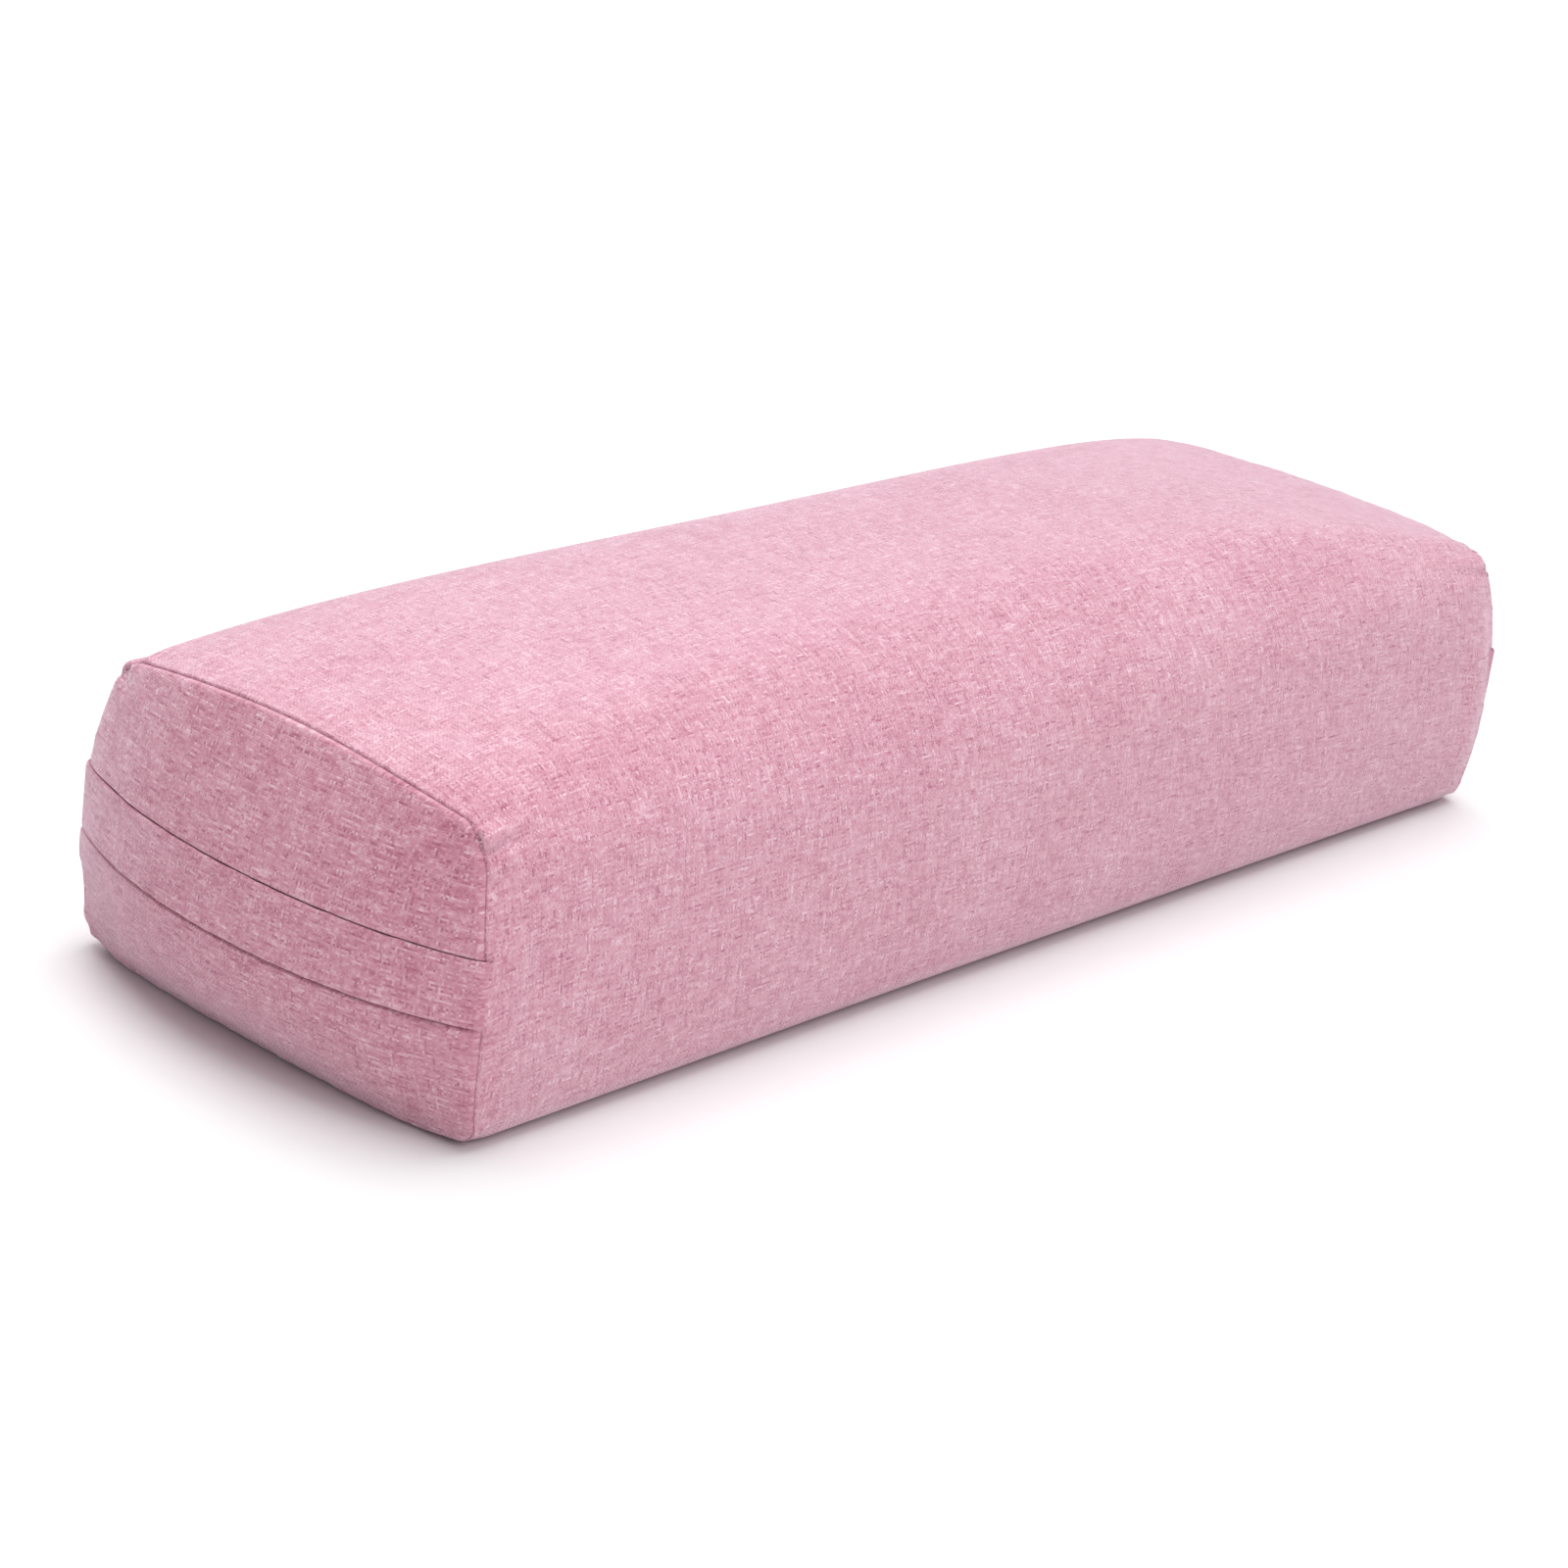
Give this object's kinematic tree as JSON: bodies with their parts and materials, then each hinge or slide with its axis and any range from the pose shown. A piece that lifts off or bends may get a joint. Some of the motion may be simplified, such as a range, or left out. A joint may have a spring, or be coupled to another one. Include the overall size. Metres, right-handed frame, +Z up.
{
  "type": "rectangular bolster",
  "caption": "Long rectangular stuffed floor bolster in soft woven cloth, crowned along its top, with a carry strap across each end and a zip low along the back.",
  "frame": {"origin": "middle of the underside, on the floor, below the centre of the bolster", "axes": "+X along the length towards the right end, +Y across towards the zipped back, +Z up"},
  "size_m": [0.6686, 0.205, 0.1365],
  "materials": {
    "cover": "matte",
    "strap": "matte",
    "zip_tape": "matte",
    "zip_coil": "satin",
    "thread": "satin",
    "zip_metal": "satin",
    "liner": "matte",
    "batting": "matte",
    "foam": "matte",
    "label": "satin"
  },
  "bodies": {
    "bolster": {"cover_wrap": "cover", "cover_end_left": "cover", "cover_end_right": "cover", "zip_tape_upper": "zip_tape", "zip_tape_lower": "zip_tape", "zip_coil_upper": "zip_coil", "zip_coil_lower": "zip_coil", "zip_tack_left": "thread", "zip_tack_right": "thread", "liner_sleeve": "liner", "liner_end_left": "liner", "liner_end_right": "liner", "batting_wrap": "batting", "batting_end_left": "batting", "batting_end_right": "batting", "foam_core": "foam", "care_label": "label"},
    "zip_slider": {"zip_slider": "zip_metal"},
    "zip_pull": {"zip_pull_tab": "zip_metal"},
    "strap_left_grip": {"strap_left_grip": "strap"},
    "strap_left_front_tab": {"strap_left_front_tab": "strap"},
    "strap_left_rear_tab": {"strap_left_rear_tab": "strap"},
    "strap_right_grip": {"strap_right_grip": "strap"},
    "strap_right_front_tab": {"strap_right_front_tab": "strap"},
    "strap_right_rear_tab": {"strap_right_rear_tab": "strap"}
  },
  "joints": [
    {"name": "strap_left_lift", "type": "slide", "parent": "bolster", "child": "strap_left_grip", "axis": [-1, 0, 0], "range_m": [0, 0.02]},
    {"name": "strap_left_front_tab_bend", "type": "hinge", "parent": "bolster", "child": "strap_left_front_tab", "pos_m": [-0.3037, -0.0994, 0.05775], "axis": [0, 0, 1], "range_deg": [0, 19]},
    {"name": "strap_left_rear_tab_bend", "type": "hinge", "parent": "bolster", "child": "strap_left_rear_tab", "pos_m": [-0.3037, 0.0994, 0.05775], "axis": [0, 0, -1], "range_deg": [0, 19]},
    {"name": "strap_right_lift", "type": "slide", "parent": "bolster", "child": "strap_right_grip", "axis": [1, 0, 0], "range_m": [0, 0.02]},
    {"name": "strap_right_front_tab_bend", "type": "hinge", "parent": "bolster", "child": "strap_right_front_tab", "pos_m": [0.3037, -0.0994, 0.05775], "axis": [0, 0, -1], "range_deg": [0, 19]},
    {"name": "strap_right_rear_tab_bend", "type": "hinge", "parent": "bolster", "child": "strap_right_rear_tab", "pos_m": [0.3037, 0.0994, 0.05775], "axis": [0, 0, 1], "range_deg": [0, 19]},
    {"name": "zip_run", "type": "slide", "parent": "bolster", "child": "zip_slider", "axis": [1, 0, 0], "range_m": [0, 0.555]},
    {"name": "zip_pull_swing", "type": "hinge", "parent": "zip_slider", "child": "zip_pull", "pos_m": [-0.278, 0.10165, 0.024], "axis": [0, 0, 1], "range_deg": [0, 175]}
  ],
  "couplings": [
    {"joint": "strap_left_front_tab_bend", "follows": "strap_left_lift", "rad_per_m": 15.7},
    {"joint": "strap_left_rear_tab_bend", "follows": "strap_left_lift", "rad_per_m": 15.7},
    {"joint": "strap_right_front_tab_bend", "follows": "strap_right_lift", "rad_per_m": 15.7},
    {"joint": "strap_right_rear_tab_bend", "follows": "strap_right_lift", "rad_per_m": 15.7}
  ]
}
